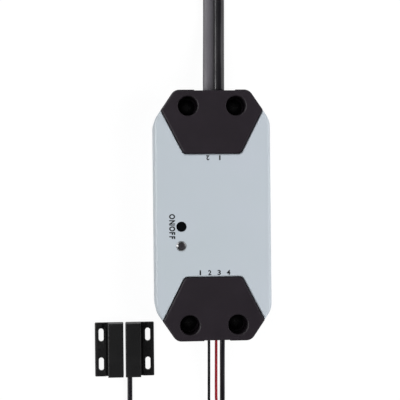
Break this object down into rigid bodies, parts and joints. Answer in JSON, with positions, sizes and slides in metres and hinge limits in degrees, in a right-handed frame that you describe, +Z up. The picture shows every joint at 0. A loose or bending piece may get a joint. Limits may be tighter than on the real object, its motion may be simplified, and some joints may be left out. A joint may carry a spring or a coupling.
{
  "type": "garage door controller",
  "caption": "In-line garage door controller box with screwed terminal covers, push button, status lamp, flat mains lead with plug, contact wires and a wired magnetic door sensor pair.",
  "frame": {"origin": "middle of the underside of the case", "axes": "+Z up out of the roof, +Y along the case towards the mains end, +X to the right when +Y points up the page"},
  "size_m": [0.0922, 0.3342, 0.024],
  "materials": {
    "shell_grey": "fine satin",
    "cover_charcoal": "fine spark texture",
    "screw_black": "blackened",
    "button_black": "satin",
    "lamp_lens": "clear smoked",
    "board_green": "solder mask",
    "steel": "bright",
    "terminal_green": "moulded",
    "relay_blue": "moulded",
    "ferrite": "ground",
    "bobbin_amber": "taped",
    "can_sleeve": "sleeved",
    "black_plastic": "moulded",
    "fuse_brown": "moulded",
    "varistor_blue": "dipped",
    "radio_board": "solder mask",
    "led_white": "moulded",
    "cord_grey": "satin",
    "cord_black": "satin",
    "wire_red": "satin",
    "core_white": "satin",
    "core_brown": "satin",
    "sensor_black": "fine texture",
    "reed_glass": "clear",
    "magnet_steel": "plated",
    "plug_black": "moulded",
    "blade_brass": "bright",
    "copper": "bright",
    "tie_black": "moulded"
  },
  "bodies": {
    "controller": {"base_shell": "shell_grey", "top_shell": "shell_grey", "input_cover": "cover_charcoal", "output_cover": "cover_charcoal", "cover_screws": "screw_black", "light_pipe": "lamp_lens", "circuit_board": "board_green", "board_screws": "steel", "input_terminal": "terminal_green", "output_terminal": "terminal_green", "terminal_screws": "steel", "relay": "relay_blue", "transformer_core": "ferrite", "transformer_bobbin": "bobbin_amber", "capacitors": "can_sleeve", "bridge_rectifier": "black_plastic", "fuse": "fuse_brown", "varistor": "varistor_blue", "radio_module": "radio_board", "radio_shield": "steel", "tact_switch": "black_plastic", "status_led": "led_white", "input_tail": "cord_grey", "input_cores": "core_brown", "output_tails": "cord_black", "sensor_cores": "core_white", "reed_housing": "sensor_black", "reed_backing": "sensor_black", "reed_capsule": "reed_glass", "reed_leads": "steel", "sensor_tail": "cord_black", "mains_lead": "cord_grey", "mains_coil": "cord_grey", "mains_lead_end": "cord_grey", "mains_tie": "tie_black", "plug_body": "plug_black", "plug_relief": "plug_black", "plug_blades": "blade_brass", "sensor_cable": "cord_black", "sensor_coil": "cord_black", "sensor_cable_end": "cord_black", "sensor_tie": "tie_black", "black_wire": "cord_black", "black_coil": "cord_black", "red_wire": "wire_red", "red_coil": "wire_red", "wire_tips": "copper", "wire_tie": "tie_black"},
    "button": {"button_cap": "button_black", "switch_plunger": "black_plastic"},
    "magnet_half": {"magnet_housing": "sensor_black", "magnet_backing": "sensor_black", "bar_magnet": "magnet_steel"}
  },
  "joints": [
    {"name": "button_press", "type": "slide", "parent": "controller", "child": "button", "axis": [0, 0, -1], "range_m": [0, 0.0004], "stiffness_N_per_m": 1500},
    {"name": "magnet_away", "type": "slide", "parent": "controller", "child": "magnet_half", "axis": [-1, 0, 0], "range_m": [0, 0.06]}
  ]
}
